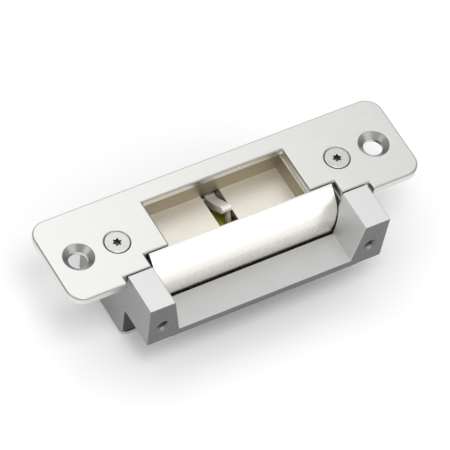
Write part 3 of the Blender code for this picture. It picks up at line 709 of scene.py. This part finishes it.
def make_housing():
    front, back, low = BLOCK_FRONT, BLOCK_BACK, BLOCK_BOTTOM
    section = [(back, BLOCK_TOP), (front, BLOCK_TOP)] + arc((front + 2.5, low + 2.5), 2.5, 180, 270, 12)
    section += arc((back - 1.0, low + 1.0), 1.0, 270, 360, 8)
    body = prism("housing_cast", "X", section, (-1, 1))
    for vertex in body.data.vertices:
        vertex.co.x *= block_half(vertex.co.z / MM)
    added = []
    for side in (-1, 1):
        ear = [(EAR_TOP, 33.6), (EAR_TOP, block_half(EAR_TOP))]
        ear += [(RAMP_BOTTOM, block_half(RAMP_BOTTOM)), (RAMP_BOTTOM, 30.0)]
        ear = prism("ear", "Y", [(z, side * x) for z, x in ear], (EAR_FRONT, EAR_NOTCH_Y - 0.3))
        added.append(soften(ear, 0.4, 4))
    ramp = [(EAR_FRONT + 0.02, RAMP_BOTTOM), (-15.5, RAMP_BOTTOM), (-15.5, RAMP_TOP)]
    ramp += arc((EAR_FRONT + 0.47, RAMP_TOP - 0.45), 0.45, 90, 180, 5)
    added.append(prism("ramp", "X", ramp, (-33, 33)))
    belly = arc(KEEPER_PIVOT, BELLY_RADIUS, 189, 232.6, 36) + [(-6, low + 0.1), (-6, FLOOR_BOTTOM)]
    added.append(prism("belly", "X", belly, (-BAY_X - 1.8, BAY_X + 1.8)))
    body = join(body, *added)

    sweep = [(-7.66, 2.0), (-14.2, 2.0)] + arc(KEEPER_PIVOT, BAY_RADIUS, 150.5, 237.9, 72)
    cuts = [prism("keeper_bay", "X", sweep, (-BAY_X, BAY_X))]
    cuts.append(box("chamber", (-BAY_X, BAY_X), (-7.8, CHAMBER_BACK), (-34, FLOOR_BOTTOM)))
    cuts.append(box("pocket", (-POCKET_X, POCKET_X), (-7.8, POCKET_BACK), (FLOOR_TOP, 2)))
    for side in (-1, 1):
        cuts.append(box("arm_bay", sided((ARM_BAY_X, BAY_X), side), (-7.8, 7.4), (-19, 2)))
        seat, screw = sided((25.9, 38.2), side), (side * PLATE_SCREW_X, HOLE_LINE_Y)
        cuts.append(rod("pin_bore", "X", KEEPER_PIVOT, seat, PIN_CLEARANCE_RADIUS, 72))
        cuts.append(rod("screw_bore", "Z", screw, (-11, 0), PLATE_SCREW_CLEARANCE_RADIUS, 72))
        tapped = sunk_hole(1.65, 2.4, EAR_FRONT, -19.5)
        cuts.append(turned("ear_hole", "Y", (-10.4, side * 36.75), tapped))
        for y in COVER_SCREW_Y:
            cuts.append(rod("cover_bore", "Z", (side * COVER_SCREW_X, y), (-34, -25), 1.25, 40))
    for x in FLOOR_CORES_X:
        cuts.append(box("floor_core", x, (-6.0, 8.0), (FLOOR_BOTTOM - 1, FLOOR_TOP - 1.8)))
    body = cut(body, *cuts)
    opened = [box("lever_slot", SLOT_X, (-3.0, POCKET_BACK - 0.05), (FLOOR_BOTTOM - 1, -9.0))]
    opened.append(box("lever_notch", SLOT_X, (POCKET_BACK - 0.15, 13.5), (FLOOR_BOTTOM - 1, -9.9)))
    opened.append(rod("lever_pin_bore", "X", LEVER_PIVOT, (-5.5, 7.4), 0.95, 40))
    opened.append(rod("switch_bore", "Z", SWITCH_SCREW, (-20, -17.0), 0.8, 32))
    finish(cut(body, *opened), die_cast, ROOT, "housing")


def make_keeper():
    rim_z, foot_z = -0.05, -17.4
    face = arc((-1.0, -13.0), 15.0, 124.3, 180, 48)
    section = [(KEEPER_INNER, rim_z), (-9.2, rim_z)] + face + [(-16.0, foot_z), (KEEPER_INNER, foot_z)]
    jaw = soften(prism("keeper_jaw", "X", section, (-KEEPER_HALF, KEEPER_HALF)), 0.2, 3, 25)
    y, z = KEEPER_PIVOT
    added, bores = [], []
    for side in (-1, 1):
        web = [(-9.5, -8.0), (-9.5, -17.2)] + arc(KEEPER_PIVOT, 4.2, -100, 66, 40)
        added.append(prism("arm", "X", web, sided((29.4, KEEPER_HALF - 0.05), side)))
        bores.append(rod("bore", "X", KEEPER_PIVOT, sided((28, 34), side), PIN_CLEARANCE_RADIUS, 72))
    tail = [(y - 18.0, z - 1.5), (y - 16.5, z - 5.0), (y - 14.0, z - 6.3), (y - 11.0, z - 5.9)]
    tail += [(y - 4.8, z - 5.9), (y - 4.8, z - 3.9), (y - 11.6, z - 3.9), (y - 11.6, z - 1.5)]
    added.append(prism("tail", "X", tail, (12, 16)))
    jaw = cut(join(jaw, *added), *bores)
    finish(jaw, keeper_plate, "keeper", "keeper")


def helix_points(radius, along, turns, start, per_turn):
    """Points of a helix about the keeper's pivot, from one place along X to another."""
    y, z = KEEPER_PIVOT
    count = int(turns * per_turn)
    points = []
    for i in range(count + 1):
        angle = math.radians(start) + math.tau * i / per_turn
        x = along[0] + (along[1] - along[0]) * i / count
        points.append((x, y + radius * math.cos(angle), z + radius * math.sin(angle)))
    return points


def make_keeper_pivots():
    y, z = KEEPER_PIVOT
    for side, word in ((-1, "left"), (1, "right")):
        pin = rod(f"keeper_pin_{word}_turned", "X", KEEPER_PIVOT, sided((26.0, 38.0), side), 2.0, 48, 0.3)
        finish(pin, zinc_steel, ROOT, f"keeper_pin_{word}")
        legs = [(28.9, y - 6.5, z - 3.1), (29.8, y - 7.2, z - 4.9), (31.2, y - 7.2, z - 4.9)]
        route = [(27.7, y + 4.2, z + 2.75)] + helix_points(2.75, (27.7, 28.8), 1.5, 90, 40) + legs
        spring = wire(f"keeper_spring_{word}_wound", [(side * px, py, pz) for px, py, pz in route], 0.3)
        finish(spring, spring_wire, ROOT, f"keeper_spring_{word}", sharp=60)


def make_screws():
    tree = screw_tree()
    places = [(side * PLATE_SCREW_X, HOLE_LINE_Y, -0.05) for side in (-1, 1)]
    values = {"Head Radius": 3.95 * MM, "Shank Radius": 1.88 * MM, "Length": 9.5 * MM, "Finish": zinc_steel}
    screws = grown("plate_screws", tree, values, places)
    finish(screws, zinc_steel, ROOT, "plate_screw_left", "plate_screw_right")
    over = {"Turn Over": (math.pi, 0, 0), "Head Radius": 2.05 * MM, "Shank Radius": 0.98 * MM, "Rim": 0.25 * MM}
    over |= {"Recess Radius": 0.9 * MM, "Recess Depth": 0.7 * MM, "Thread Pitch": 0.5 * MM}
    over["Finish"] = zinc_steel
    for name, length, nodes in (
        ("cover_screws", 6.5, [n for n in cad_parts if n.startswith("cover_screw")]),
        ("inner_screws", 2.9, ["solenoid_screw_left", "solenoid_screw_right", "support_screw"]),
    ):
        places = []
        for node in nodes:
            low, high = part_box(node)
            middle = ((low + high) / 2 - DATUM) / MM
            places.append((middle.x, middle.y, (low.z - DATUM.z) / MM))
        finish(grown(name, tree, over | {"Length": length * MM}, places), zinc_steel, ROOT, *nodes)


def make_coil():
    y, z = PLUNGER_AXIS
    bobbin_low, bobbin_high = [(v.x - DATUM.x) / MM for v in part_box("coil_bobbin")]
    tree = coil_tree()
    start, end = bobbin_low + 1.25, bobbin_high - 1.25
    wound = end - start - 0.3
    values = {"Radius": 4.44 * MM, "Wire Radius": 0.15 * MM, "Length": wound * MM, "Turns": wound / 0.305}
    winding = grown("coil_winding_wire", tree, values | {"Steps": 28, "Finish": enamelled_copper})
    winding.data.transform(Matrix.Translation(((start + 0.15) * MM, y * MM, z * MM)) @ turn_to("X"))
    finish(winding, enamelled_copper, ROOT, "coil_winding", sharp=60)
    near, far = bobbin_low, bobbin_high
    profile = [(3.25, far), (4.85, far), (5.0, far - 0.15), (5.0, far - 0.95), (4.85, far - 1.1)]
    profile += [(3.75, far - 1.1), (3.75, near + 1.1), (4.85, near + 1.1), (5.0, near + 0.95)]
    profile += [(5.0, near + 0.15), (4.85, near), (3.25, near), (3.25, far)]
    finish(turned("coil_bobbin_moulded", "X", PLUNGER_AXIS, profile), black_nylon, ROOT, "coil_bobbin")
    wrap = [(4.72, end), (4.97, end), (5.0, end - 0.05)]
    layers = 4
    for i in range(1, layers):
        x = end + (start - end) * i / layers
        wrap += [(5.0, x + 0.12), (4.96, x + 0.02), (5.0, x - 0.12)]
    wrap += [(5.0, start + 0.05), (4.97, start), (4.72, start), (4.72, end)]
    flap_root = box("flap_root", (-3.0, -1.5), (5.5, 8.4), (-19.8, -18.95))
    flap = box("flap", (-3.0, 8.6), (2.2, 8.4), (-19.15, -18.95))
    tape = join(turned("coil_tape_wrapped", "X", PLUNGER_AXIS, wrap), flap_root, flap)
    finish(tape, coil_tape_film, ROOT, "coil_tape")
    spring = {"Radius": 3.65 * MM, "Wire Radius": 0.25 * MM, "Length": 4.05 * MM, "Turns": 4.0, "Steps": 40}
    spring = grown("plunger_spring_wound", tree, spring | {"Finish": spring_wire})
    spring.data.transform(Matrix.Translation((5.2 * MM, y * MM, z * MM)) @ turn_to("X"))
    finish(spring, spring_wire, ROOT, "plunger_spring", sharp=60)
    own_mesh(spring)


def make_plunger():
    profile = [(0, 12.6), (1.45, 12.6), (1.6, 12.45), (1.6, 12.3), (1.15, 12.3), (1.15, 11.7), (1.6, 11.7)]
    profile += [(1.6, 9.7), (2.8, 9.7), (3.0, 9.5), (3.0, -8.2), (2.0, -9.0), (0, -9.0)]
    finish(turned("plunger_turned", "X", PLUNGER_AXIS, profile), turned_iron, "plunger", "plunger")


def make_leads():
    for word, x, y, skin in (("left", -30.3, 10.2, red_insulation), ("right", -25.1, 8.6, black_nylon)):
        top = -18.75
        corners = [(-18.9, top), (-21.8, top), (x + 2.6, -19.3), (x + 0.9, -20.0), (x, -21.0), (x, -22.5)]
        curved = [corners[0]]
        for before, here, after in zip(corners, corners[1:], corners[2:]):
            a, b, c = Vector(before), Vector(here), Vector(after)
            first, last = b + (a - b) * 0.35, b + (c - b) * 0.35
            for t in (0, 0.25, 0.5, 0.75, 1):
                curved.append(tuple((1 - t) ** 2 * first + 2 * t * (1 - t) * b + t * t * last))
        lead = wire(f"coil_lead_{word}_sleeved", [(px, y, pz) for px, pz in curved + [corners[-1]]], 0.44)
        finish(lead, skin, ROOT, f"coil_lead_{word}", sharp=60)


def make_inner_pieces():
    for node, skin, body, width in (
        ("latch_lever", lever_painted_bright, "latch_lever", 0.15), ("latch_lever_pin", zinc_steel, ROOT, 0.15),
        ("switch_body", black_nylon, ROOT, 0.15), ("switch_button", black_nylon, "switch_button", 0.05),
        ("switch_screw", zinc_steel, ROOT, 0.08), ("solenoid_frame", zinc_steel, ROOT, 0.2),
        ("solenoid_core", turned_iron, ROOT, 0.12), ("locking_slide", zinc_steel, "plunger", 0.15),
        ("plunger_clip", spring_wire, "plunger", 0.05), ("slide_support", black_nylon, ROOT, 0.1),
        ("terminal_block", green_moulding, ROOT, 0.1), ("terminal_screw_left", zinc_steel, ROOT, 0.08),
        ("terminal_screw_right", zinc_steel, ROOT, 0.08), ("bottom_cover", zinc_steel, ROOT, 0.1),
    ):
        refined(node, skin, body, width)
    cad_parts["latch_lever_spring"].data.materials.clear()
    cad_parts["latch_lever_spring"].data.materials.append(spring_wire)


# ---- floor, lights and camera ----

def make_stage():
    floor = shape("floor", mesh_from(flat_square(3.0), "floor"))
    pale = bpy.data.materials.new("pale floor")
    pale.use_nodes = True
    pale.node_tree.nodes["Principled BSDF"].inputs["Base Color"].default_value = (0.93, 0.93, 0.93, 1)
    pale.node_tree.nodes["Principled BSDF"].inputs["Roughness"].default_value = 0.9
    floor.data.materials.append(pale)


def flat_square(half):
    bm = bmesh.new()
    bmesh.ops.create_grid(bm, x_segments=1, y_segments=1, size=half)
    return bm


def soft_light(name, towards, distance, size, power, colour=(1, 1, 1)):
    """An area light that faces the strike from a direction."""
    light = bpy.data.lights.new(name, "AREA")
    light.shape = "RECTANGLE"
    light.size, light.size_y = size
    light.energy = power
    light.color = colour
    lamp = shape(name, light)
    back = Vector(towards).normalized()
    lamp.location = back * distance
    lamp.rotation_euler = back.to_track_quat("Z", "Y").to_euler()


def make_lights():
    soft_light("overhead softbox", (0.03, 0.55, 0.83), 1.6, (1.3, 1.3), 4.6)
    soft_light("top light", (-0.12, -0.30, 0.95), 1.2, (0.4, 0.4), 3.4)
    soft_light("front card", (0.37, -0.85, 0.42), 1.2, (1.1, 1.0), 3.9)
    soft_light("left fill", (-0.95, -0.1, 0.4), 1.4, (0.9, 0.9), 3.5)
    world = bpy.data.worlds.new("studio")
    world.use_nodes = True
    world.node_tree.nodes["Background"].inputs["Color"].default_value = (0.98, 0.985, 1.0, 1)
    world.node_tree.nodes["Background"].inputs["Strength"].default_value = 0.72
    bpy.context.scene.world = world
    bpy.context.scene.view_settings.view_transform = "Standard"


def make_camera():
    lens = bpy.data.cameras.new("camera")
    lens.lens = 366.2
    lens.clip_start, lens.clip_end = 0.1, 20
    camera = shape("camera", lens)
    camera.location = (-0.52586, -0.66456, 1.15510)
    camera.rotation_euler = [math.radians(angle) for angle in (36.363, -6.612, -29.273)]
    bpy.context.scene.camera = camera


make_face_plate()
make_housing()
make_keeper()
make_keeper_pivots()
make_screws()
make_coil()
make_plunger()
make_leads()
make_inner_pieces()
make_stage()
make_lights()
make_camera()
